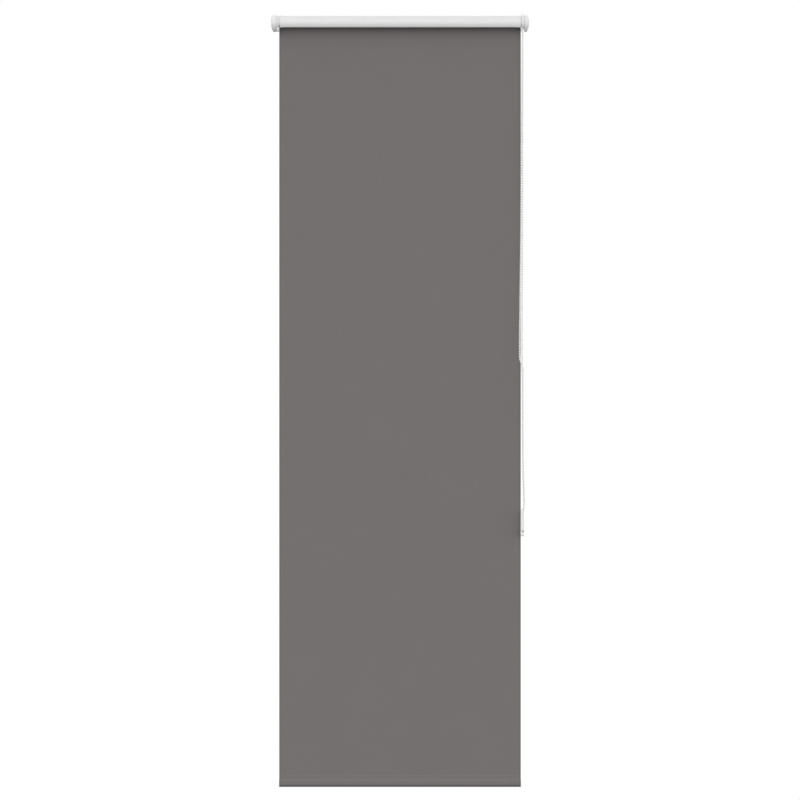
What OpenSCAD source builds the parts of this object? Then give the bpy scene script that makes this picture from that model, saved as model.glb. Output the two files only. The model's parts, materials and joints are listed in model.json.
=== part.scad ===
// Cassette roller blind worked by a bead chain at its right-hand end.
// Millimetres, +Z up. The wall is the plane y = 0 and the room is towards -Y.
// The origin is the middle of the four wall screw holes, level with the roll's axis.

/* [Overall] */
// Width over both end caps
overall_w = 597; // [560:1:680]
// Height from the roll's axis down to the bottom edge of the hem
drop = 1766; // [1500:1:1900]
// Distance from the wall to the roll's axis
wall_off = 24; // [23.5:0.5:30]

/* [End caps and brackets] */
// Radius of the end caps
cap_r = 20; // [20:0.1:20.6]
// Depth of the end caps below the roll's axis
cap_low = 19.4; // [19.2:0.1:19.6]
// Wall thickness of the end caps
cap_t = 1.6; // [1.4:0.1:1.7]
// Thickness of the brackets' side plates
plate_t = 1.8; // [1.6:0.1:1.8]
// Radius of the brackets' side plates
plate_r = 17.4; // [17:0.1:17.6]
// Thickness of the brackets' wall plates
wall_t = 3; // [2.5:0.1:3.5]
// Radius of the wall screw holes
hole_r = 1.9; // [1.7:0.1:2]
// Height of the wall screw holes above and below the roll's axis
hole_z = 8.5; // [8:0.1:9.5]

/* [Cassette] */
// Outer radius of the front cover
cover_r = 17.3; // [17.3:0.1:17.5]
// Thickness of the front cover
cover_t = 1.1; // [0.9:0.1:1.1]
// Extra radius at the two ends of the front cover
cover_flare = 1.3; // [0:0.1:1.5]

/* [Cloth and hem] */
// Thickness of the cloth
cloth_t = 0.25; // [0.2:0.01:0.3]
// Turns of cloth that stay on the tube when the blind is down
wraps = 3; // [2:1:4]
// Height of the hem, from its weld to the bottom edge
hem_h = 26.4; // [24:0.1:30]
// Height of the pocket that holds the bottom bar
pocket_h = 17.2; // [16:0.1:19]
// Thickness of the pocket from front to back
pocket_d = 5; // [4.6:0.1:5.5]

/* [Roller] */
// Outer radius of the roller tube
tube_r = 8.5; // [8.5:0.05:8.6]
// Wall thickness of the roller tube
tube_t = 1; // [0.9:0.05:1]

/* [Bead chain] */
// Diameter of a bead
bead_d = 4.5; // [4:0.1:4.5]
// Distance from bead to bead
bead_pitch = 6; // [5.9:0.05:6]
// Pockets round the chain wheel
pockets = 12; // [12:1:12]

/* [Hidden] */
$fn = 96;

white = "whitesmoke";
cloth_grey = [0.45, 0.44, 0.43];
steel = "silver";

// Places across the width, as distances from the middle
half_w = overall_w / 2;
cloth_x = half_w - 19.25;       // edge of the cloth
cover_x_l = half_w - 20.7;      // left end of the front cover
cover_x_r = half_w - 18.9;      // right end of the front cover
flare_x = half_w - 34.5;        // where the cover begins to flare
tube_x = half_w - 20.3;         // end of the tube
flange_x = half_w - 18.9;       // inner face of the cover holders
flange_t = 1.4;
ring_x = half_w - 16.3;         // inner face of the visible ring
plate_x_r = half_w - 11.6;      // inner face of the right side plate
plate_x_l = half_w - 13.6;      // inner face of the left side plate
plate_low = 18.8;               // bottom of the side plates, below the axis
cap_gap = 0.2;                  // joint between a side plate and its end cap
chain_x = half_w - 14.9;        // plane of the bead chain
screw_x = half_w - 7.2;         // wall screw holes
wall_plate_x0 = half_w - 16.1;
wall_plate_x1 = half_w - 4.7;
wall_plate_z = 12.5;

// End cap: a quarter ellipse at the rim, and an underside that tapers inwards
rim_r = 10.5;
rim_x = 8.5;
under_z = 5;                    // depth below the axis where the taper begins
under_x = 5.2;                  // how far the taper has come in at the bottom
peg_y = 9;
peg_z = 9;
peg_r = 1.4;

// Cover holder
holder_r = 16.4;
ring_r = 18.6;
neck_r = 15.2;                  // bottom of the groove between ring and cover
lip_y = 17.4;                   // front of the lip below the ring
lip_low = 19.4;
lip_top = 9.6;
lip_t = 1.2;
tab_top = 22.3;                 // release tab on the right-hand ring
spigot_r = cover_r - cover_t - 0.1;
spigot_t = 0.75;
spigot_len = 19.6;

// Roller and its two ends
roll_r = tube_r + wraps * cloth_t;
bore_r = tube_r - tube_t;
plug_r = bore_r - 0.05;
key_w = 4.2;
key_r = 5.8;
spline_r = 7.1;
hub_x0 = half_w - 45.5;
post_x0 = half_w - 49;
post_r = 3;
run = 0.05;                     // running clearance on a radius
sleeve_x0 = half_w - 36.5;
wheel_w = 4.8;
wheel_x0 = chain_x - wheel_w / 2;
wheel_x1 = chain_x + wheel_w / 2;
plug_x1 = half_w - 49.5;
chamber_r = 4;
chamber_x = half_w - 24;
stopper_x = half_w - 46.5;
pin_r = 2.5;
pin_tip = half_w - 10.9;
pin_back = half_w - 27;         // inner face of the pin's shoulder

// Cloth plane, hem and bottom bar
panel_gap = 0.3;
panel_y0 = -wall_off + roll_r + panel_gap;
panel_mid = panel_y0 + cloth_t / 2;
weld_z = -drop + hem_h;
bar_d = pocket_d - 1.2;
bar_h = pocket_h - 1.6;

// Chain wheel: the beads' centres lie on this radius
wheel_r = bead_pitch / (2 * sin(180 / pockets));
groove_r = bead_d / 2 + 0.35;
drum_r = wheel_r - 0.9;
bead_r = bead_d / 2;

// Tensioner that hangs in the loop
tens_x = chain_x - 0.1;
tens_t = 3.6;                   // thickness of one half
tens_z = -1152;                 // axis of its wheel
tens_top_l = -1124;
tens_top_r = -1135;
tens_bottom = -1176;
tens_w = 30.4;
foot_top = -1178;
foot_bottom = -1186;
axle_r = 1.5;

// Chain route, [across from the chain's plane, from the roll's axis towards the wall, height]
front_strand = [
    [0, -11.6, -30], [-1, -11.6, -100], [-2, -11.6, -200], [-3.2, -11.6, -400],
    [-4.6, -11.6, -540], [-6, -11.6, -640], [-6.5, -11.6, -686], [-6.9, -11.6, -715],
    [-7, -11.6, -750], [-6.9, -11.6, -770], [-5.9, -11.6, -779], [-3.9, -11.6, -785],
    [-1.8, -11.6, -789.5], [-0.5, -11.6, -793.5], [0, -11.6, -798], [0, -11.6, -812], [0, -11.6, -900], [0.4, -11.6, -980],
    [1.6, -11.6, -1050], [3, -11.6, -1095], [3.5, -11.6, -1112], [2.9, -11.6, -1118],
    [1.7, -11.6, -1124], [0.5, -11.6, -1130], [0, -11.6, -1136], [0, -11.6, -1144]
];
rear_strand = [
    [0, 11.6, -1144], [0, 11.6, -1136], [0.5, 11.6, -1130], [1.7, 11.6, -1124],
    [2.9, 11.6, -1118], [3.5, 11.6, -1112], [3, 11.6, -1095], [1.6, 11.6, -1050],
    [0.4, 11.6, -980], [0, 11.6, -900], [0, 11.6, -850], [-0.5, 11.6, -806], [-1.1, 11.6, -770],
    [-1.1, 11.6, -640], [-0.7, 11.6, -540], [0, 11.6, -400], [0, 11.6, -40]
];
wheel_turn = [for (a = [180:-15:0]) [0, 11.6 * cos(a), 11.6 * sin(a)]];
tens_turn = [for (a = [180:15:360]) [0, 11.6 * cos(a), tens_z + 11.6 * sin(a)]];
// The loop runs back over the top wheel, down behind, round the tensioner and up in front
loop = concat(wheel_turn, reverse(rear_strand), reverse(tens_turn), reverse(front_strand));
connector_z = -808;
connector_h = 11;

function reverse(list) = [for (i = [len(list) - 1:-1:0]) list[i]];
function unit(v) = v / norm(v);

// ---- Helpers ----

// Turns a profile given as [radius, x] about the roll's axis
module turned() {
    translate([0, -wall_off, 0]) rotate([0, 90, 0]) rotate_extrude() children();
}

// The same, only between two elevations measured up from the front
module sector(low, high) {
    translate([0, -wall_off, 0]) rotate([0, 90, 0]) rotate([0, 0, 270 - high])
        rotate_extrude(angle = high - low) children();
}

// Extrudes an outline given as [y, z] from x0 to x1
module slab(x0, x1) {
    translate([x0, 0, 0]) rotate([90, 0, 90]) linear_extrude(x1 - x0) children();
}

// Extrudes an outline given as [x, z] from y0 to y1
module plank(y0, y1) {
    translate([0, y1, 0]) rotate([90, 0, 0]) linear_extrude(y1 - y0) children();
}

// Rectangle from one corner to the other
module rect(a, b) {
    translate(a) square(b - a);
}

// Rectangle with round corners, made of exact circles
module round_rect(a, b, r) {
    rect([a[0] + r, a[1]], [b[0] - r, b[1]]);
    rect([a[0], a[1] + r], [b[0], b[1] - r]);
    for (x = [a[0] + r, b[0] - r], y = [a[1] + r, b[1] - r]) translate([x, y]) circle(r);
}

// Upright flat oval round [0, middle]
module oval(width, height, middle) {
    rect([-width / 2, middle - height / 2 + width / 2], [width / 2, middle + height / 2 - width / 2]);
    for (s = [-1, 1]) translate([0, middle + s * (height - width) / 2]) circle(width / 2);
}

// Wire spring along the roll's axis; section is the wire's outline as [radius, along]
module coil(section, x0, x1, turns, steps) {
    n = len(section);
    rings = turns * steps;
    points = [for (i = [0:rings], s = section)
        let (a = 360 * i / steps, x = x0 + (x1 - x0) * i / rings)
            [x + s[1], -wall_off + s[0] * cos(a), s[0] * sin(a)]];
    sides = [for (i = [0:rings - 1], k = [0:n - 1])
        [i * n + k, i * n + (k + 1) % n, (i + 1) * n + (k + 1) % n, (i + 1) * n + k]];
    ends = [[for (k = [n - 1:-1:0]) k], [for (k = [0:n - 1]) rings * n + k]];
    polyhedron(points, concat(sides, ends));
}

// ---- Brackets, end caps and cover holders; drawn for the right, mirrored for the left ----

module side_plate_outline() {
    for (z = [0, plate_r - plate_low]) translate([-wall_off, z]) circle(plate_r);
    rect([-wall_off - plate_r, plate_r - plate_low], [-wall_off, 0]);
    rect([-wall_off, -plate_low], [0, plate_r]);
}

module bracket(plate_x) {
    difference() {
        union() {
            slab(plate_x, plate_x + plate_t) side_plate_outline();
            plank(-wall_t, 0)
                round_rect([wall_plate_x0, -wall_plate_z], [wall_plate_x1, wall_plate_z], 2);
        }
        for (z = [-hole_z, hole_z])
            translate([screw_x, 1, z]) rotate([90, 0, 0]) cylinder(h = wall_t + 2, r = hole_r);
        for (z = [-peg_z, peg_z])
            slab(plate_x - 1, plate_x + plate_t + 1)
                translate([-wall_off - peg_y, z]) circle(peg_r + run);
    }
}

module right_bracket() color(white) {
    difference() {
        bracket(plate_x_r);
        slab(plate_x_r - 1, plate_x_r + plate_t + 1) translate([-wall_off, 0]) square(4.1, center = true);
    }
}

module left_bracket() color(white) mirror([1, 0, 0]) {
    boss_x = plate_x_l - 2.3;
    difference() {
        union() {
            bracket(plate_x_l);
            slab(boss_x, plate_x_l) translate([-wall_off, 0]) circle(5);
        }
        slab(boss_x - 1, plate_x_l + plate_t + 1) translate([-wall_off, 0]) circle(pin_r + run);
    }
}

function cap_rim(inset) = [for (t = [90:-9:0])
    [cap_r - rim_r + (rim_r - inset) * sin(t), half_w - rim_x + (rim_x - inset) * cos(t)]];
function underside(z) = under_x * pow((-z - under_z) / (cap_low - under_z), 1.3);

// Solid shape of an end cap, made smaller on all sides by inset
module cap_solid(x0, inset, y1) {
    rim = concat([[cap_r - inset, x0]], cap_rim(inset), [[0, half_w - inset]]);
    taper = [for (k = [0:9]) let (z = -under_z - k * (cap_low - under_z) / 9)
        [half_w - underside(z) - inset, z + inset]];
    intersection() {
        union() {
            sector(-90, 90) polygon(concat([[0, x0]], rim));
            plank(-wall_off, y1)
                polygon(concat([for (p = rim) [p[1], p[0]]], reverse([for (p = rim) [p[1], -p[0]]])));
        }
        plank(-wall_off - cap_r - 1, y1)
            polygon(concat([[x0 - 1, cap_r + 1], [half_w + 1, cap_r + 1], [half_w + 1, -under_z + inset]],
                taper, [[x0 - 1, -cap_low + inset]]));
    }
}

module end_cap(plate_x) {
    x0 = plate_x + plate_t + cap_gap;
    difference() {
        cap_solid(x0, 0, -0.4);
        cap_solid(x0 - 0.5, cap_t, 0);
    }
    for (z = [-peg_z, peg_z])
        slab(plate_x + 0.1, half_w - cap_t + 0.2) translate([-wall_off - peg_y, z]) circle(peg_r);
}

module right_end_cap() color(white) end_cap(plate_x_r);
module left_end_cap() color(white) mirror([1, 0, 0]) end_cap(plate_x_l);

// Outline of the lip that closes the underside of a cover holder
module lip_outline(inset) {
    translate([-wall_off, 0]) intersection() {
        round_rect([-lip_y + inset, -lip_low + inset], [lip_y - inset, lip_low - inset], 6);
        rect([-lip_y - 1, -lip_low - 1], [3, -lip_top]);
    }
}

// Ring and flange beside the roll, with the spigot that the front cover snaps over
module cover_holder(plate_x, lip_x) {
    turned() rect([5.2, flange_x], [holder_r, flange_x + flange_t]);
    sector(-8, 188) rect([neck_r - 0.8, flange_x + flange_t - 0.2], [neck_r, ring_x + 0.2]);
    sector(-8, 188) rect([neck_r - 0.8, ring_x], [holder_r + 0.2, ring_x + 1.2]);
    sector(-24, 205) rect([holder_r, ring_x], [ring_r, plate_x]);
    sector(-18, 112) rect([spigot_r - spigot_t, flange_x - spigot_len], [spigot_r, flange_x + 0.2]);
    slab(flange_x, flange_x + flange_t) lip_outline(0);
    slab(flange_x, lip_x) difference() {
        lip_outline(0);
        lip_outline(lip_t);
    }
}

// Release tab on top of the chain guard
module release_tab() {
    tab_x = ring_x - 1.6;
    intersection() {
        slab(tab_x, plate_x_r) translate([-wall_off, ring_r - 0.4]) circle(tab_top - ring_r + 0.4);
        plank(-wall_off - 6, -wall_off + 6)
            polygon([[tab_x, ring_r - 1.2], [tab_x, tab_top - 1.8], [tab_x + 1.2, tab_top - 0.4],
                [tab_x + 2.4, tab_top], [plate_x_r - 2.2, tab_top], [plate_x_r - 0.8, tab_top - 0.6],
                [plate_x_r, tab_top - 1.8], [plate_x_r, ring_r - 1.2]]);
    }
}

module right_cover_holder() color(white) {
    cover_holder(plate_x_r, flange_x + flange_t);
    release_tab();
}

module left_cover_holder() color(white) mirror([1, 0, 0]) {
    cover_holder(plate_x_l, plate_x_l);
    // Wall behind the gap between the ring and the lip
    sector(-40, -4) rect([neck_r - 0.8, flange_x + flange_t - 0.2], [neck_r, plate_x_l]);
}

// Front cover: a long curved shell whose ends flare out to meet the rings
function flare(x) = let (end = x < 0 ? cover_x_l : cover_x_r)
    cover_flare * pow(max(0, abs(x) - flare_x) / (end - flare_x), 2);
module cassette_cover() color(white) {
    left = [for (k = [4:-1:0]) -flare_x - k * (cover_x_l - flare_x) / 4];
    right = [for (k = [0:4]) flare_x + k * (cover_x_r - flare_x) / 4];
    xs = concat(left, right);
    outer = [for (x = xs) [cover_r + flare(x), x]];
    inner = [for (x = xs) [cover_r - cover_t + flare(x), x]];
    sector(-33.3, 125) polygon(concat(outer, reverse(inner)));
}

// ---- Clutch at the right-hand end ----

module clutch_post() color(white) {
    difference() {
        turned() union() {
            rect([0, post_x0], [post_r, plate_x_r]);
            rect([0, wheel_x1 + 0.1], [5, plate_x_r]);
        }
        turned() rect([2.4, post_x0 + 1.5], [post_r + 1, post_x0 + 2.4]);
    }
    slab(plate_x_r, plate_x_r + plate_t + 0.9) translate([-wall_off, 0]) square(4, center = true);
}

module clutch_clip() color(steel) {
    slab(post_x0 + 1.6, post_x0 + 2.3) translate([-wall_off, 0]) difference() {
        circle(4.8);
        circle(2.45);
        rect([-1.8, -5], [1.8, 0]);
    }
}

wrap_wire = [[post_r + 0.06, -0.36], [post_r + 0.75, -0.36], [post_r + 0.75, 0.36], [post_r + 0.06, 0.36]];
module clutch_spring_inner() color(steel) coil(wrap_wire, half_w - 35.5, half_w - 28.5, 8, 28);
module clutch_spring_outer() color(steel) coil(wrap_wire, half_w - 27.1, half_w - 20.1, 8, 28);

module chain_wheel() color(white) {
    difference() {
        turned() difference() {
            union() {
                rect([post_r + run, wheel_x0], [drum_r, wheel_x1]);
                rect([3.95, sleeve_x0], [4.75, wheel_x0 + 0.2]);
            }
            translate([wheel_r, chain_x]) circle(groove_r);
        }
        // Pockets for the beads
        for (k = [0:pockets - 1])
            translate([chain_x, -wall_off, 0]) rotate([k * 360 / pockets, 0, 0])
                translate([0, 0, wheel_r]) sphere(groove_r + 0.2);
        // Slot in the sleeve for the ends of the wrap springs
        slab(sleeve_x0 - 1, sleeve_x0 + 15) rect([-wall_off - 1.6, 3], [-wall_off + 1.6, 6]);
    }
}

// Slot in a tube plug that slides over the tube's inner channel
module key_slot(x0, x1) {
    slab(x0, x1) rect([-wall_off - key_w / 2 - 0.15, key_r - 0.15], [-wall_off + key_w / 2 + 0.15, tube_r + 1]);
}

module drive_hub() color(white) {
    difference() {
        turned() union() {
            rect([post_r + run, hub_x0], [plug_r, hub_x0 + 4]);
            rect([5, hub_x0], [plug_r, tube_x]);
            rect([5, tube_x], [tube_r, tube_x + 1.1]);
        }
        key_slot(hub_x0 - 1, tube_x);
    }
}

// ---- Roller ----

module roller_tube() color(steel) {
    slab(-tube_x, tube_x) translate([-wall_off, 0]) difference() {
        union() {
            difference() {
                circle(tube_r);
                circle(bore_r);
            }
            rect([-key_w / 2, key_r], [key_w / 2, tube_r - 0.6]);
        }
        translate([0, spline_r]) circle(1.1);
        rect([-0.6, spline_r], [0.6, tube_r + 1]);
    }
}

module cloth_spline() color("dimgray")
    slab(-tube_x + 2, tube_x - 2) translate([-wall_off, spline_r]) circle(0.95);

module cloth_roll() color(cloth_grey)
    slab(-cloth_x, cloth_x) translate([-wall_off, 0]) difference() {
        circle(roll_r);
        circle(tube_r + 0.02);
    }

// ---- Idle end, drawn on the right and mirrored to the left ----

module idle_plug() color(white) mirror([1, 0, 0]) {
    difference() {
        turned() difference() {
            union() {
                rect([0, plug_x1], [plug_r, tube_x]);
                rect([0, tube_x], [tube_r, tube_x + 1.1]);
            }
            rect([0, plug_x1 - 1], [chamber_r, chamber_x]);
            rect([0, chamber_x - 1], [pin_r + run, tube_x + 2]);
        }
        key_slot(plug_x1 - 1, tube_x);
    }
}

module idle_plug_stopper() color(white) mirror([1, 0, 0])
    turned() rect([0, plug_x1], [chamber_r - 0.02, stopper_x]);

module idle_pin() color(white) mirror([1, 0, 0])
    turned() polygon([[0, pin_back - 9.5], [1.6, pin_back - 9.5], [1.6, pin_back], [chamber_r - 0.1, pin_back],
        [chamber_r - 0.1, chamber_x], [pin_r, chamber_x], [pin_r, pin_tip - 0.6], [pin_r - 0.6, pin_tip],
        [0, pin_tip]]);

push_wire = [for (a = [0:60:300]) [2.7 + 0.35 * cos(a), 0.35 * sin(a)]];
module idle_spring() color(steel) mirror([1, 0, 0])
    coil(push_wire, stopper_x + 0.4, pin_back - 0.4, 9, 20);

// ---- Cloth, hem and bottom bar ----

module cloth_panel() color(cloth_grey)
    slab(-cloth_x, cloth_x) rect([panel_y0, weld_z], [panel_y0 + cloth_t, 0]);

module bottom_hem() color(cloth_grey) {
    middle = -drop + pocket_h / 2;
    neck_z = -drop + pocket_h;
    difference() {
        union() {
            slab(-cloth_x, cloth_x) translate([panel_mid, 0]) oval(pocket_d, pocket_h, middle);
            slab(-cloth_x, cloth_x) translate([panel_mid, 0])
                polygon([[-1.65, neck_z - 0.9], [-0.3, neck_z + 2], [-0.3, weld_z - 0.3],
                    [0.3, weld_z - 0.3], [0.3, neck_z + 2], [1.65, neck_z - 0.9]]);
        }
        slab(-cloth_x - 1, cloth_x + 1) translate([panel_mid, 0]) oval(pocket_d - 0.6, pocket_h - 0.8, middle);
    }
}

module bottom_bar() color(steel)
    slab(-cloth_x + 2, cloth_x - 2) translate([panel_mid, 0]) oval(bar_d, bar_h, -drop + pocket_h / 2);

module bar_cap() {
    middle = -drop + pocket_h / 2;
    slab(cloth_x - 2, cloth_x + 0.1) translate([panel_mid, 0]) oval(bar_d + 0.4, bar_h + 0.4, middle);
    slab(cloth_x, cloth_x + 0.35) translate([panel_mid, 0]) oval(pocket_d, pocket_h, middle);
}

module right_bar_cap() color("gray") bar_cap();
module left_bar_cap() color("gray") mirror([1, 0, 0]) bar_cap();

// ---- Chain loop and its tensioner ----

// Closed tube swept round the loop; the rings' first side vector stays near +X
module bead_chain() color(white) {
    sides = 8;
    n = len(loop);
    points = [for (i = [0:n - 1])
        let (t = unit(loop[(i + 1) % n] - loop[(i + n - 1) % n]),
            u = unit([1, 0, 0] - t * t[0]),
            v = cross(t, u))
        for (k = [0:sides - 1])
            [chain_x, -wall_off, 0] + loop[i]
                + bead_r * (cos(360 * k / sides) * u + sin(360 * k / sides) * v)];
    faces = [for (i = [0:n - 1], k = [0:sides - 1])
        let (j = (i + 1) % n, m = (k + 1) % sides)
            [i * sides + k, j * sides + k, j * sides + m, i * sides + m]];
    polyhedron(points, faces);
}

module chain_connector() color(white)
    translate([chain_x, -wall_off - 11.6, connector_z]) difference() {
        union() {
            cylinder(h = connector_h, r = 2.9);
            translate([0, 0, connector_h / 2 - 0.6]) cylinder(h = 1.2, r = 3.2);
        }
        translate([0, 0, -1]) cylinder(h = connector_h + 2, r = bead_r + 0.1);
    }

// One half of the tensioner, between x0 and x1; open is the side that faces the other half
module tensioner_half(top, x0, x1, open) {
    depth = tens_t - 1.2;
    cut_x = open > 0 ? x1 - depth : x0 - 1;
    difference() {
        slab(x0, x1) translate([-wall_off, 0])
            round_rect([-tens_w / 2, tens_bottom], [tens_w / 2, top], 5);
        // Channel for the chain and the wheel
        slab(cut_x, cut_x + depth + 1) translate([-wall_off, 0]) {
            translate([0, tens_z]) circle(14.2);
            for (s = [-1, 1])
                rect([s * 11.6 - 2.6, tens_z], [s * 11.6 + 2.6, top + 1]);
        }
        slab(x0 + (open > 0 ? 0.6 : -1), x1 + (open > 0 ? 1 : -0.6))
            translate([-wall_off, tens_z]) circle(axle_r);
        // Socket for the foot's stem
        slab(open > 0 ? x1 - 1.6 : x0 - 1, open > 0 ? x1 + 1 : x0 + 1.6)
            rect([-wall_off - 4.1, tens_bottom - 1], [-wall_off + 4.1, tens_bottom + 5.1]);
    }
}

module tensioner_left_half() color(white) tensioner_half(tens_top_l, tens_x - tens_t, tens_x, 1);
module tensioner_right_half() color(white) tensioner_half(tens_top_r, tens_x, tens_x + tens_t, -1);

module tensioner_axle() color(steel)
    slab(tens_x - tens_t + 0.7, tens_x + tens_t - 0.7) translate([-wall_off, tens_z]) circle(axle_r - 0.01);

module tensioner_wheel() color(white)
    translate([0, 0, tens_z]) turned() difference() {
        rect([axle_r + run, tens_x - 2.2], [drum_r, tens_x + 2.2]);
        translate([wheel_r, chain_x]) circle(groove_r);
    }

module tensioner_foot() color(white) {
    difference() {
        union() {
            slab(tens_x - 3.3, tens_x + 3.3) translate([-wall_off, 0])
                round_rect([-13, foot_bottom], [13, foot_top], 2.5);
            slab(tens_x - 1.5, tens_x + 1.5) translate([-wall_off, 0])
                rect([-4, foot_top - 1], [4, tens_bottom + 5]);
        }
        slab(tens_x - 5, tens_x + 5)
            translate([-wall_off, (foot_top + foot_bottom) / 2]) circle(hole_r);
    }
}

left_bracket();
right_bracket();
left_end_cap();
right_end_cap();
left_cover_holder();
right_cover_holder();
cassette_cover();
clutch_post();
clutch_spring_inner();
clutch_spring_outer();
clutch_clip();
roller_tube();
cloth_spline();
cloth_roll();
drive_hub();
chain_wheel();
idle_plug();
idle_plug_stopper();
idle_spring();
idle_pin();
cloth_panel();
bottom_hem();
bottom_bar();
left_bar_cap();
right_bar_cap();
bead_chain();
chain_connector();
tensioner_left_half();
tensioner_right_half();
tensioner_axle();
tensioner_wheel();
tensioner_foot();
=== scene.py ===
"""Roller blind with a cassette, a bead chain and its tensioner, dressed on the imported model."""

import json
import math

import bpy
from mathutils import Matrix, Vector, noise


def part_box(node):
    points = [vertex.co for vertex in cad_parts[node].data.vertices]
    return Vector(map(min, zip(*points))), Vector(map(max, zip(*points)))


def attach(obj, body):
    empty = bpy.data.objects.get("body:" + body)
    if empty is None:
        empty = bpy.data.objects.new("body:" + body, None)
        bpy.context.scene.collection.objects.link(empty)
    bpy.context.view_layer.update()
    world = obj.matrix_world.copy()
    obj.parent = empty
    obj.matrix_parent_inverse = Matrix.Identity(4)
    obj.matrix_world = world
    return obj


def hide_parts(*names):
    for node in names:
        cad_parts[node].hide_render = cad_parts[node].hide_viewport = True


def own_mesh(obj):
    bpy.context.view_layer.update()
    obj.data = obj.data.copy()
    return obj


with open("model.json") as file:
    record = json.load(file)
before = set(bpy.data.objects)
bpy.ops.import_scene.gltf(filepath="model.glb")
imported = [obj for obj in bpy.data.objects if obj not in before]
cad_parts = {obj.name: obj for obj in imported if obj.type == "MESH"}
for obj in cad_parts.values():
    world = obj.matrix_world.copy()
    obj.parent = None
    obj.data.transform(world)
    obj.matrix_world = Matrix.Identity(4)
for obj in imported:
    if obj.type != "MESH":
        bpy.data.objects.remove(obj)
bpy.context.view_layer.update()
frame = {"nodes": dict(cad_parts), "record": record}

scene = bpy.context.scene
nodes_by_name = frame["nodes"]
MM = 0.001

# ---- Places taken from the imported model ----
panel_lo, panel_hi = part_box("cloth_panel")
roll_lo, roll_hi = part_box("cloth_roll")
tube_lo, tube_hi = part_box("roller_tube")
hem_lo, hem_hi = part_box("bottom_hem")
cover_lo, cover_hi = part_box("cassette_cover")
spring_lo, spring_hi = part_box("idle_spring")

AXIS_Y = (tube_lo.y + tube_hi.y) / 2  # the roll's axis is the line y = AXIS_Y, z = 0
CLOTH_T = panel_hi.y - panel_lo.y


# ---- Node materials ----
class Shader:
    """One node material, with short helpers for its tree."""

    def __init__(self, name):
        self.material = bpy.data.materials.new(name)
        self.material.use_nodes = True
        self.tree = self.material.node_tree
        self.bsdf = self.tree.nodes["Principled BSDF"]
        self.coords = self.tree.nodes.new("ShaderNodeTexCoord").outputs["Object"]

    def put(self, kind, **settings):
        node = self.tree.nodes.new("ShaderNode" + kind)
        for key, value in settings.items():
            setattr(node, key, value)
        return node

    def feed(self, socket, value):
        if isinstance(value, bpy.types.NodeSocket):
            self.tree.links.new(value, socket)
        else:
            socket.default_value = value

    def math(self, operation, *values):
        node = self.put("Math", operation=operation)
        for socket, value in zip(node.inputs, values):
            self.feed(socket, value)
        return node.outputs[0]

    def stretched(self, coords, scale):
        node = self.put("Mapping")
        self.feed(node.inputs["Vector"], coords)
        node.inputs["Scale"].default_value = scale
        return node.outputs["Vector"]

    def noise(self, coords, scale, detail=2.0):
        node = self.put("TexNoise")
        self.feed(node.inputs["Vector"], coords)
        node.inputs["Scale"].default_value = scale
        node.inputs["Detail"].default_value = detail
        return node.outputs["Fac"]

    def ramp(self, value, low, high, out_low, out_high):
        node = self.put("MapRange", clamp=True)
        self.feed(node.inputs["Value"], value)
        ends = {"From Min": low, "From Max": high, "To Min": out_low, "To Max": out_high}
        for key, number in ends.items():
            node.inputs[key].default_value = number
        return node.outputs["Result"]

    def shade(self, colour, amount):
        """A colour times a number that varies over the surface."""
        node = self.put("VectorMath", operation="SCALE")
        self.feed(node.inputs[0], colour)
        self.feed(node.inputs["Scale"], amount)
        return node.outputs[0]

    def bump(self, height, distance, strength=1.0, normal=None):
        node = self.put("Bump")
        node.inputs["Strength"].default_value = strength
        node.inputs["Distance"].default_value = distance
        self.feed(node.inputs["Height"], height)
        if normal is not None:
            self.feed(node.inputs["Normal"], normal)
        return node.outputs["Normal"]

    def round_edges(self, radius):
        node = self.put("Bevel", samples=4)
        node.inputs["Radius"].default_value = radius
        return node.outputs["Normal"]

    def done(self, **sockets):
        for key, value in sockets.items():
            self.feed(self.bsdf.inputs[key.replace("_", " ")], value)
        return self.material


def plastic(name, colour, roughness, grain, grain_depth, edge):
    """Moulded plastic: fine grain, faint flow marks and a little dust and handling."""
    s = Shader(name)
    cloud = s.noise(s.coords, 34, 3)
    flow = s.noise(s.stretched(s.coords, (14, 120, 120)), 1, 2)
    speck = s.noise(s.coords, grain, 2)
    tone = s.math("ADD", s.ramp(cloud, 0.3, 0.7, 0.975, 1.0), s.ramp(flow, 0.3, 0.7, -0.012, 0.012))
    tone = s.math("ADD", tone, s.ramp(speck, 0.25, 0.75, -0.012, 0.012))
    rough = s.math("ADD", s.ramp(cloud, 0.3, 0.7, roughness - 0.05, roughness + 0.05),
                   s.ramp(speck, 0.3, 0.7, -0.04, 0.04))
    normal = s.bump(speck, grain_depth, normal=s.round_edges(edge))
    return s.done(Base_Color=s.shade((*colour,), tone), Roughness=rough, Normal=normal)


def metal(name, colour, roughness, along, depth):
    """Drawn or extruded metal, with streaks along one axis."""
    s = Shader(name)
    streak = s.noise(s.stretched(s.coords, along), 1, 4)
    cloud = s.noise(s.coords, 60, 2)
    tone = s.math("MULTIPLY", s.ramp(streak, 0.3, 0.7, 0.9, 1.04), s.ramp(cloud, 0.3, 0.7, 0.95, 1.0))
    rough = s.math("ADD", s.ramp(streak, 0.3, 0.7, roughness - 0.07, roughness + 0.07),
                   s.ramp(cloud, 0.3, 0.7, -0.03, 0.05))
    normal = s.bump(streak, depth, normal=s.round_edges(0.15 * MM))
    return s.done(Base_Color=s.shade((*colour,), tone), Metallic=1.0, Roughness=rough, Normal=normal)


YARN = 0.42 * MM  # from yarn to yarn
WEAVE_UV = "weave"  # across and along the cloth, in metres


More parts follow.
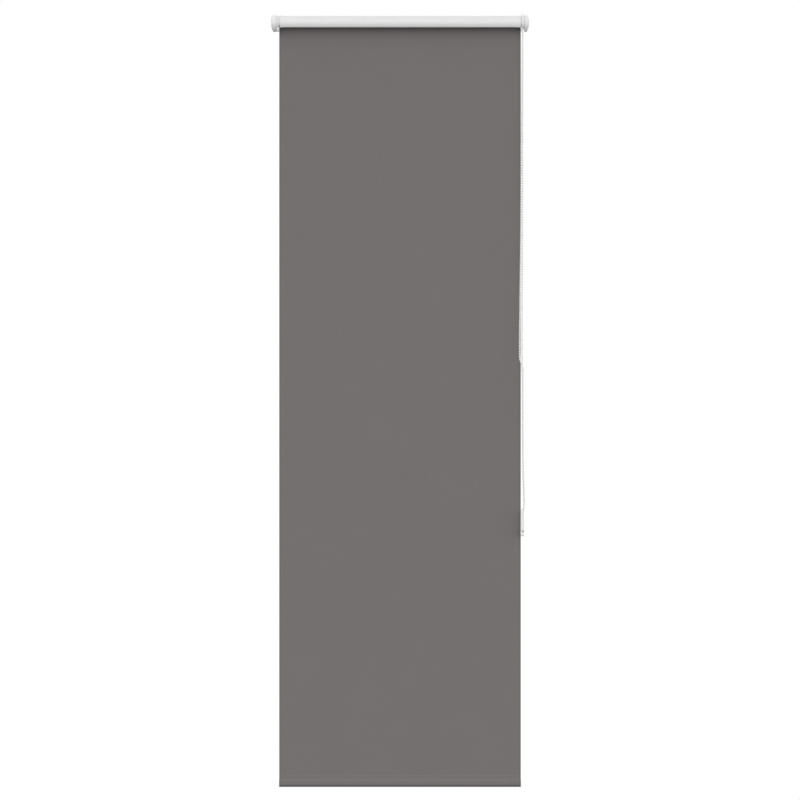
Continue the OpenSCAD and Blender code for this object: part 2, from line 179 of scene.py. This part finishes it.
def woven(name, colour, half_width=None, weld=None, fold=None):
    """Plain weave of matt polyester with slubs, with painted shade between the yarns and darker along cut
    edges; where asked, painted shade along a fold and a painted highlight on a weld line.
    """
    s = Shader(name)
    place = s.put("UVMap", uv_map=WEAVE_UV).outputs["UV"]
    split = s.put("SeparateXYZ")
    s.feed(split.inputs[0], place)
    across, along = split.outputs["X"], split.outputs["Y"]
    warp = s.math("COSINE", s.math("MULTIPLY", across, math.pi / YARN))
    weft = s.math("COSINE", s.math("MULTIPLY", along, math.pi / YARN))
    over = s.math("MULTIPLY", s.math("MULTIPLY", warp, weft), 0.4)
    warp_top = s.math("MULTIPLY_ADD", s.math("ABSOLUTE", warp), 0.6, over)
    weft_top = s.math("SUBTRACT", s.math("MULTIPLY", s.math("ABSOLUTE", weft), 0.6), over)
    height = s.math("MAXIMUM", warp_top, weft_top)
    slub_warp = s.noise(s.stretched(place, (1400, 9, 1)), 1, 3)
    slub_weft = s.noise(s.stretched(place, (9, 1400, 1)), 1, 3)
    cloud = s.noise(place, 7, 3)
    # painted shade: the colour drops in the hollows between the yarns and rises slightly, as a painted
    # highlight, on their tops
    tone = s.ramp(height, 0.3, 0.95, 0.9, 1.045)
    for part, low, high in ((slub_warp, 0.965, 1.035), (slub_weft, 0.97, 1.03), (cloud, 0.99, 1.01)):
        tone = s.math("MULTIPLY", tone, s.ramp(part, 0.3, 0.7, low, high))
    rough = s.ramp(height, 0.3, 0.95, 0.93, 0.8)
    relief = s.math("ADD", height, s.math("MULTIPLY", slub_warp, 0.25))
    if half_width:  # cut edge, sealed by heat
        inwards = s.math("SUBTRACT", half_width, s.math("ABSOLUTE", across))
        tone = s.math("MULTIPLY", tone, s.ramp(inwards, 0.0, 6 * MM, 0.87, 1.0))
        relief = s.math("MULTIPLY", relief, s.ramp(inwards, 0.4 * MM, 1.6 * MM, 0.35, 1.0))
    if fold:  # painted shade along the fold at the bottom of the hem, where the cloth turns under
        away = s.math("ABSOLUTE", s.math("SUBTRACT", along, fold))
        # painted shade: down to 0.59 of the colour within 4 mm of the fold, back to full by 7.2 mm
        tone = s.math("MULTIPLY", tone, s.ramp(away, 4.0 * MM, 7.2 * MM, 0.59, 1.0))
    shown = s.shade((*colour,), tone)
    if weld:  # a line of fine slanting marks pressed in by the welder, with a painted highlight along it
        middle, width = weld
        off = s.math("ABSOLUTE", s.math("SUBTRACT", along, middle))
        band = s.ramp(off, width * 0.35, width * 0.6, 1.0, 0.0)
        marks = s.math("SINE", s.math("MULTIPLY", s.math("ADD", across, along), 2 * math.pi / (1.3 * MM)))
        weld_marks_and_highlight = s.math("MULTIPLY", band, s.ramp(marks, -0.3, 0.5, 0.45, 1.0))
        # painted highlight: the weld marks lift the colour by up to 28 %; their dent in the relief is real
        shown = s.shade(shown, s.math("MULTIPLY_ADD", weld_marks_and_highlight, 0.28, 1.0))
        relief = s.math("SUBTRACT", relief, s.math("MULTIPLY", weld_marks_and_highlight, 0.7))
    return s.done(Base_Color=shown, Roughness=rough, Normal=s.bump(relief, 0.06 * MM, 0.8),
                  Sheen_Weight=0.12, Sheen_Roughness=0.45)


WHITE = (0.83, 0.83, 0.83)
CLOTH = (0.196, 0.181, 0.176)
SLOT_MATERIALS = {
    "white_plastic": plastic("moulded_white", (0.9, 0.9, 0.89), 0.46, 2600, 0.02 * MM, 0.2 * MM),
    "cap_plastic": plastic("cap_white", (0.87, 0.87, 0.87), 0.38, 3400, 0.008 * MM, 0.35 * MM),
    "cover_white": plastic("cover_white", WHITE, 0.36, 4200, 0.006 * MM, 0.2 * MM),
    "chain_white": plastic("chain_white", (0.92, 0.92, 0.92), 0.32, 3800, 0.006 * MM, 0.25 * MM),
    "grey_plastic": plastic("bar_end_grey", (0.17, 0.17, 0.16), 0.5, 2600, 0.02 * MM, 0.15 * MM),
    "tube_aluminium": metal("mill_aluminium", (0.76, 0.76, 0.77), 0.42, (3, 900, 900), 0.01 * MM),
    "spring_steel": metal("spring_steel", (0.58, 0.58, 0.59), 0.28, (500, 40, 40), 0.006 * MM),
}
cloth_material = woven("blackout_cloth", CLOTH, half_width=panel_hi.x)


# ---- Mesh helpers ----
def add_mesh(name, points, faces, material, uvs=None, smooth=True, body=None, replaces=()):
    """A piece from points and faces; uvs gives each point's place on the cloth."""
    mesh = bpy.data.meshes.new(name)
    mesh.from_pydata([tuple(p) for p in points], [], faces)
    if uvs:
        layer = mesh.uv_layers.new(name=WEAVE_UV)
        for loop in mesh.loops:
            layer.data[loop.index].uv = uvs[loop.vertex_index]
    mesh.polygons.foreach_set("use_smooth", [smooth] * len(mesh.polygons))
    mesh.materials.append(material)
    piece = bpy.data.objects.new(name, mesh)
    scene.collection.objects.link(piece)
    if body:
        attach(piece, body)
    if replaces:
        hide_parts(*replaces)
    return piece


def sharpen(piece, degrees):
    piece.data.set_sharp_from_angle(angle=math.radians(degrees))


def extruded(outline, stations, place):
    """Closed prism of a closed outline along stations; place(point, station) gives each corner."""
    n = len(outline)
    points = [place(p, x) for x in stations for p in outline]
    faces = [(i * n + k, i * n + (k + 1) % n, (i + 1) * n + (k + 1) % n, (i + 1) * n + k)
             for i in range(len(stations) - 1) for k in range(n)]
    return points, faces


# ---- Cloth hanging from the back of the roll ----
def ease(t):
    return t * t * (3 - 2 * t)


def hanging_cloth():
    """The flat drop, with its two edges drawn back very slightly between the roll and the hem."""
    columns, rows = 60, 120
    half = panel_hi.x
    across = [half * math.sin(math.pi / 2 * (2 * i / columns - 1)) for i in range(columns + 1)]
    down = [panel_hi.z + (panel_lo.z - panel_hi.z) * j / rows for j in range(rows + 1)]
    points, uvs = [], []
    for side_y in (panel_lo.y, panel_hi.y):
        for z in down:
            drop = (panel_hi.z - z) / (panel_hi.z - panel_lo.z)
            hold = ease(min(1, drop * 6)) * ease(min(1, (1 - drop) * 9))
            for x in across:
                curl = 0.45 * MM * (abs(x) / half) ** 8
                wave = 0.16 * MM * noise.noise(Vector((x * 5, 0.3, z * 2.2)))
                points.append((x, side_y + hold * (curl + wave), z))
                uvs.append((x, z))
    w, layer = columns + 1, (columns + 1) * (rows + 1)
    faces = []
    for j in range(rows):
        for i in range(columns):
            a = j * w + i
            faces.append((a, a + w, a + w + 1, a + 1))
            b = layer + a
            faces.append((b, b + 1, b + w + 1, b + w))
    rim = ([i for i in range(columns)] + [j * w + columns for j in range(rows)]
           + [rows * w + i for i in range(columns, 0, -1)] + [j * w for j in range(rows, 0, -1)])
    for k, a in enumerate(rim):
        b = rim[(k + 1) % len(rim)]
        faces.append((a, b, layer + b, layer + a))
    piece = add_mesh("cloth_sheet", points, faces, cloth_material, uvs, body="headrail",
                     replaces=["cloth_panel"])
    sharpen(piece, 40)
    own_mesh(piece)
    return piece


def spiral(name, inner, grow, turns, start, thickness, body, length, replaces=()):
    """Strip of cloth wound on the roll: inner radius at the start, growth per turn, starting angle,
    and the place along the cloth where it starts."""
    steps = int(64 * turns)
    half = panel_hi.x
    points, uvs = [], []
    for i in range(steps + 1):
        angle = start + 2 * math.pi * turns * i / steps
        radius = inner + grow * turns * i / steps
        if i:
            length += radius * 2 * math.pi * turns / steps
        for r in (radius, radius + thickness):
            for x in (-half, half):
                points.append((x, AXIS_Y + r * math.cos(angle), r * math.sin(angle)))
                uvs.append((x, length))
    faces = []
    for i in range(steps):
        a, b = 4 * i, 4 * (i + 1)
        for p, q in ((0, 1), (1, 3), (3, 2), (2, 0)):
            faces.append((a + q, b + q, b + p, a + p))
    faces += [(2, 3, 1, 0), tuple(4 * steps + k for k in (0, 1, 3, 2))]
    piece = add_mesh(name, points, faces, cloth_material, uvs, body=body, replaces=replaces)
    sharpen(piece, 40)
    return piece


cloth_sheet = hanging_cloth()
roll_r0, roll_r1 = tube_hi.z, roll_hi.z
layer_t = (roll_r1 - roll_r0) / 3
spiral("cloth_turns", roll_r0 + 0.03 * MM, layer_t, 2, math.radians(110), layer_t - 0.02 * MM,
       "roller", -2.4, replaces=["cloth_roll"])
# The last turn, from the hanging cloth up over the roll and round to its underside
top_r = panel_lo.y - AXIS_Y
cloth_over_roll = spiral("cloth_over_roll", top_r, roll_r1 + 0.04 * MM - top_r, 0.985, 0, CLOTH_T,
                         "headrail", 0.0)


# ---- Hem with its pocket ----
WELD_H = 2.0 * MM  # height of the welded line


def smooth_line(points, steps):
    """Catmull-Rom through the points, with that many steps between each two."""
    out = []
    n = len(points)
    for i in range(n - 1):
        p0, p1, p2, p3 = (points[max(0, min(n - 1, i + k))] for k in (-1, 0, 1, 2))
        for s in range(steps):
            t = s / steps
            out.append(tuple(0.5 * (2 * b + (c - a) * t + (2 * a - 5 * b + 4 * c - d) * t * t
                                    + (3 * b - a - 3 * c + d) * t ** 3)
                             for a, b, c, d in zip(p0, p1, p2, p3)))
    return out + [tuple(points[-1])]


def hem_pocket():
    """One strip of cloth folded round the bar and welded to itself above the pocket."""
    middle_y, bottom = (hem_lo.y + hem_hi.y) / 2, hem_lo.z
    # The profile of the strip's middle is in millimetres, as (distance from the hem's middle, height)
    top = (panel_lo.z - bottom) / MM
    low = CLOTH_T * 0.94 / 2 / MM  # half the strip's thickness, pressed a little thinner than the cloth
    side = (hem_hi.y - hem_lo.y) / 2 / MM - low
    neck = 0.14
    half_loop = [(neck, top), (neck, 21.2), (0.28, 19.4), (0.85, 17.4), (1.6, 15.6), (side - 0.12, 13.4),
                 (side, 10.2), (side - 0.08, 7.0), (2.22, 4.6), (2.05, 2.7), (1.5, 1.25), (0.75, low + 0.32),
                 (0, low)]
    loop = [(-y, z) for y, z in half_loop] + [(y, z) for y, z in reversed(half_loop[:-1])]
    loop[-1] = (neck, top + 1.1)  # the back layer reaches a little above the weld
    line = smooth_line(loop, 5)
    outer, inner, arc, length = [], [], [], panel_lo.z
    for i, (y, z) in enumerate(line):
        y0, z0 = line[max(0, i - 1)]
        y1, z1 = line[min(len(line) - 1, i + 1)]
        size = math.hypot(y1 - y0, z1 - z0)
        ny, nz = (z1 - z0) / size * low, -(y1 - y0) / size * low
        outer.append((middle_y + (y + ny) * MM, bottom + (z + nz) * MM))
        inner.append((middle_y + (y - ny) * MM, bottom + (z - nz) * MM))
        if i:
            length -= math.dist(line[i], line[i - 1]) * MM
        arc.append(length)
    hem_material = woven("blackout_hem", CLOTH, half_width=hem_hi.x, weld=(panel_lo.z, WELD_H),
                         fold=arc[len(arc) // 2])
    outline = outer + inner[::-1]
    arcs = arc + arc[::-1]
    columns = 24
    stations = [hem_lo.x + (hem_hi.x - hem_lo.x) * i / columns for i in range(columns + 1)]
    points, faces = extruded(outline, stations, lambda p, x: (x, p[0], p[1]))
    uvs = [(x, a) for x in stations for a in arcs]
    n, m = len(outline), len(line)
    last = columns * n
    for i in range(m - 1):
        a, b, c, d = i, i + 1, n - 2 - i, n - 1 - i
        faces.append((a, d, c, b))
        faces.append(tuple(last + k for k in (a, b, c, d)))
    piece = add_mesh("hem_pocket", points, faces, hem_material, uvs, body="bottom_rail",
                     replaces=["bottom_hem"])
    sharpen(piece, 40)
    return piece


hem = hem_pocket()


# ---- Cassette cover ----
def cassette_shell():
    """Curved extrusion with rolled edges; its ends flare out to meet the holders."""
    flare = 1.3 * MM
    thickness = 1.1 * MM
    low, high = math.radians(-33.3), math.radians(125)
    flare_from = 264 * MM
    steps, round_steps = 72, 6
    end_steps, long_steps = 14, 16
    # Closed section as (radius offset from the middle of the wall, elevation), with both edges rolled
    half_t = thickness / 2
    middle = cover_hi.z - flare - half_t
    lip = half_t / middle
    first, last_angle = low + lip, high - lip
    along = [first + (last_angle - first) * i / steps for i in range(steps + 1)]
    rolled = [math.pi * k / round_steps for k in range(1, round_steps)]
    section = [(half_t, a) for a in along]
    section += [(half_t * math.cos(a), last_angle + lip * math.sin(a)) for a in rolled]
    section += [(-half_t, a) for a in reversed(along)]
    section += [(-half_t * math.cos(a), first - lip * math.sin(a)) for a in rolled]
    stations = ([cover_lo.x + (-flare_from - cover_lo.x) * i / end_steps for i in range(end_steps + 1)]
                + [-flare_from + 2 * flare_from * i / long_steps for i in range(1, long_steps)]
                + [flare_from + (cover_hi.x - flare_from) * i / end_steps for i in range(end_steps + 1)])

    def place(p, x):
        end = cover_hi.x if x > 0 else -cover_lo.x
        out = max(0.0, abs(x) - flare_from) / (end - flare_from)
        r = middle + p[0] + flare * out * out
        return x, AXIS_Y - r * math.cos(p[1]), r * math.sin(p[1])

    points, faces = extruded(section, stations, place)
    faces = [face[::-1] for face in faces]
    n, last = len(section), (len(stations) - 1) * len(section)
    for i in range(steps):
        a, b, c, d = i, i + 1, steps + round_steps + steps - i - 1, steps + round_steps + steps - i
        faces.append((a, b, c, d))
        faces.append(tuple(last + k for k in (d, c, b, a)))
    for start, stop in ((steps, steps + round_steps), (2 * steps + round_steps, n)):
        fan = [k % n for k in range(start, stop + 1)]
        faces.append(tuple(fan))
        faces.append(tuple(last + k for k in reversed(fan)))
    piece = add_mesh("cassette_shell", points, faces, SLOT_MATERIALS["cover_white"], body="headrail",
                     replaces=["cassette_cover"])
    sharpen(piece, 50)


cassette_shell()


# ---- Spring behind the idle pin ----
def idle_coil():
    """Push spring behind the idle pin, built at one fixed length."""
    wire = 0.35 * MM
    length = spring_hi.x - spring_lo.x
    radius = (spring_hi.z - spring_lo.z) / 2 - wire
    turns, steps, sides = 9, 24, 8
    rings = turns * steps
    points = []
    for i in range(rings + 1):
        turned = 2 * math.pi * i / steps
        x = spring_lo.x + wire + (length - 2 * wire) * i / rings
        for k in range(sides):
            about = 2 * math.pi * k / sides
            r = radius + wire * math.cos(about)
            points.append((x + wire * math.sin(about), AXIS_Y + r * math.cos(turned), r * math.sin(turned)))
    faces = []
    for i in range(rings):
        a, b = i * sides, (i + 1) * sides
        faces += [(a + k, b + k, b + (k + 1) % sides, a + (k + 1) % sides) for k in range(sides)]
    faces += [tuple(range(sides)), tuple(rings * sides + k for k in reversed(range(sides)))]
    piece = add_mesh("idle_coil", points, faces, SLOT_MATERIALS["spring_steel"], body="roller",
                     replaces=["idle_spring"])
    sharpen(piece, 60)
    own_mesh(piece)


idle_coil()

# ---- Bead chain ----
CHAIN_X = 283.6  # plane of the chain; all of this block is in millimetres
STRAND_Y = 11.6  # from the wheel's axis to either strand
TENS_Z = -1152  # axis of the tensioner's wheel
BEAD_R = 2.25
BEAD_PITCH = 6
CORD_R = 0.62
# Offsets from the chain's plane at each height, down each strand; both end alike
LOWER_DRIFT = [(0, -900), (0.4, -980), (1.6, -1050), (3, -1095), (3.5, -1112), (2.9, -1118), (1.7, -1124),
               (0.5, -1130), (0, -1136), (0, -1144)]
FRONT_DRIFT = [(0, -30), (-1, -100), (-2, -200), (-3.2, -400), (-4.6, -540), (-6, -640), (-6.5, -686),
               (-6.9, -715), (-7, -750), (-6.9, -770), (-5.9, -779), (-3.9, -785), (-1.8, -789.5),
               (-0.5, -793.5), (0, -798), (0, -812)] + LOWER_DRIFT
REAR_DRIFT = [(0, -40), (0, -400), (-0.7, -540), (-1.1, -640), (-1.1, -770), (-0.5, -806),
              (0, -850)] + LOWER_DRIFT


def chain_route():
    """Closed line of the beads' centres: over the wheel, down behind, round the tensioner and up in front."""
    axis = AXIS_Y / MM

    def arc(middle_z, first, last):
        """Part of a wheel's pitch circle, between two angles counted from the front over the top."""
        step = 6 if last > first else -6
        turn = [math.radians(a) for a in range(first, last + step, step)]
        return [(CHAIN_X, axis - STRAND_Y * math.cos(a), middle_z + STRAND_Y * math.sin(a)) for a in turn]

    rear = [(CHAIN_X + dx, axis + STRAND_Y, z) for dx, z in REAR_DRIFT]
    front = [(CHAIN_X + dx, axis - STRAND_Y, z) for dx, z in reversed(FRONT_DRIFT)]
    line = arc(0, 90, 180) + rear + arc(TENS_Z, 180, 360) + front + arc(0, 0, 90)
    return [Vector(p) * MM for p in line]


def measured(line):
    """Length along the line at each of its points."""
    out = [0.0]
    for a, b in zip(line, line[1:]):
        out.append(out[-1] + (b - a).length)
    return out


def along_line(line, lengths, s):
    """Point and direction at a length along a line."""
    lo, hi = 0, len(lengths) - 1
    while hi - lo > 1:
        mid = (lo + hi) // 2
        lo, hi = (mid, hi) if lengths[mid] <= s else (lo, mid)
    a, b = line[lo], line[hi]
    t = (s - lengths[lo]) / (lengths[hi] - lengths[lo])
    return a.lerp(b, t), (b - a).normalized()


def bead_string():
    route = chain_route()
    lengths = measured(route)
    total = lengths[-1]
    beads = round(total / (BEAD_PITCH * MM))
    pitch = total / beads
    bead_r = BEAD_R * MM
    # Radii along one bead and its stretch of cord, from the bead's middle
    profile = [(-bead_r * math.cos(math.radians(a)), bead_r * math.sin(math.radians(a)))
               for a in (17, 32, 50, 70, 90, 110, 130, 148, 163)]
    profile = [(-pitch / 2, CORD_R * MM)] + profile
    sides = 12
    rings = []
    for k in range(beads):
        for offset, radius in profile:
            s = min(max((k + 0.5) * pitch + offset, 0.0), total)
            point, direction = along_line(route, lengths, s)
            side = Vector((1, 0, 0))
            side = (side - direction * side.dot(direction)).normalized()
            rings.append((point, side, direction.cross(side), radius))
    points = [p + (u * math.cos(2 * math.pi * k / sides) + v * math.sin(2 * math.pi * k / sides)) * r
              for p, u, v, r in rings for k in range(sides)]
    faces = []
    for i in range(len(rings)):
        a, b = i * sides, (i + 1) % len(rings) * sides
        faces += [(a + k, a + (k + 1) % sides, b + (k + 1) % sides, b + k) for k in range(sides)]
    piece = add_mesh("bead_string", points, faces, SLOT_MATERIALS["chain_white"], body="pull_chain",
                     replaces=["bead_chain"])
    tuple(route[0])
    [tuple(p) for p in route]


bead_string()

# ---- Looks of the CAD pieces that stay ----
slots = {p["node"]: p["material_slot"] for p in frame["record"]["subparts"]}
for name, piece in nodes_by_name.items():
    material = SLOT_MATERIALS.get(slots[name])
    if material is None:
        continue
    piece.data.materials.clear()
    piece.data.materials.append(material)
    piece.data.polygons.foreach_set("use_smooth", [True] * len(piece.data.polygons))
    sharpen(piece, 32)

# ---- Camera, floor and light ----
VIEW_W = 1.8504  # width of the view at the cloth
VIEW_Z = -0.8711  # height of its middle
camera_data = bpy.data.cameras.new("camera")
camera_data.lens = 1000  # the photo has almost no perspective
camera_data.sensor_width = 36
camera_data.clip_end = 200
camera = bpy.data.objects.new("camera", camera_data)
camera.location = (0, panel_lo.y - VIEW_W * camera_data.lens / camera_data.sensor_width, VIEW_Z)
camera.rotation_euler = (math.pi / 2, 0, 0)
scene.collection.objects.link(camera)
scene.camera = camera

FLOOR_Z, FLOOR_R, FLOOR_SIDES = -2.35, 3.5, 64
floor_mesh = bpy.data.meshes.new("floor")
turn = [2 * math.pi * k / FLOOR_SIDES for k in range(FLOOR_SIDES)]
floor_mesh.from_pydata([(FLOOR_R * math.cos(a), FLOOR_R * math.sin(a), FLOOR_Z) for a in turn], [],
                       [tuple(range(FLOOR_SIDES))])
floor = bpy.data.objects.new("floor", floor_mesh)
scene.collection.objects.link(floor)
floor_look = Shader("pale_floor")
floor_tone = floor_look.ramp(floor_look.noise(floor_look.coords, 1.4, 3), 0.3, 0.7, 0.74, 0.8)
floor_colour = floor_look.shade((1, 1, 1), floor_tone)
floor_mesh.materials.append(floor_look.done(Base_Color=floor_colour, Roughness=0.9))
floor.visible_diffuse = False

# Light comes softly from all round; how much depends only on how high in the sky it is,
# given here as (sine of elevation, strength)
SKY = ((-1.0, 0.28), (-0.2, 0.28), (0.02, 1.08), (0.4, 1.38), (0.7, 0.72), (1.0, 0.40))
world = bpy.data.worlds.new("studio")
world.use_nodes = True
tree = world.node_tree
tree.nodes.clear()


def world_node(kind, **settings):
    node = tree.nodes.new("ShaderNode" + kind)
    for key, value in settings.items():
        setattr(node, key, value)
    return node


brightest = max(v for _, v in SKY)
height = world_node("SeparateXYZ")
tree.links.new(world_node("TexCoord").outputs["Generated"], height.inputs[0])
scaled = world_node("MapRange")
tree.links.new(height.outputs["Z"], scaled.inputs["Value"])
scaled.inputs["From Min"].default_value = -1.0
sky = world_node("ValToRGB")
while len(sky.color_ramp.elements) < len(SKY):
    sky.color_ramp.elements.new(0.5)
for stop, (sine, strength) in zip(sky.color_ramp.elements, SKY):
    stop.position = (sine + 1) / 2
    stop.color = (*[strength / brightest] * 3, 1)
tree.links.new(scaled.outputs["Result"], sky.inputs[0])
fill = world_node("Background")
fill.inputs["Strength"].default_value = brightest
tree.links.new(sky.outputs["Color"], fill.inputs["Color"])
seen = world_node("Background")
seen.inputs["Color"].default_value = (1, 1, 1, 1)
choose = world_node("MixShader")
tree.links.new(world_node("LightPath").outputs["Is Camera Ray"], choose.inputs[0])
tree.links.new(fill.outputs[0], choose.inputs[1])
tree.links.new(seen.outputs[0], choose.inputs[2])
tree.links.new(choose.outputs[0], world_node("OutputWorld").inputs["Surface"])
scene.world = world


KEY_ELEVATION = 32  # degrees; the key is a wide soft light straight in front
key_data = bpy.data.lights.new("key", "SUN")
key_data.energy = 0.5
key_data.angle = math.radians(60)
key = bpy.data.objects.new("key", key_data)
key.rotation_euler = (math.radians(90 - KEY_ELEVATION), 0, 0)
scene.collection.objects.link(key)

scene.view_settings.view_transform = "Standard"
scene.view_settings.look = "None"
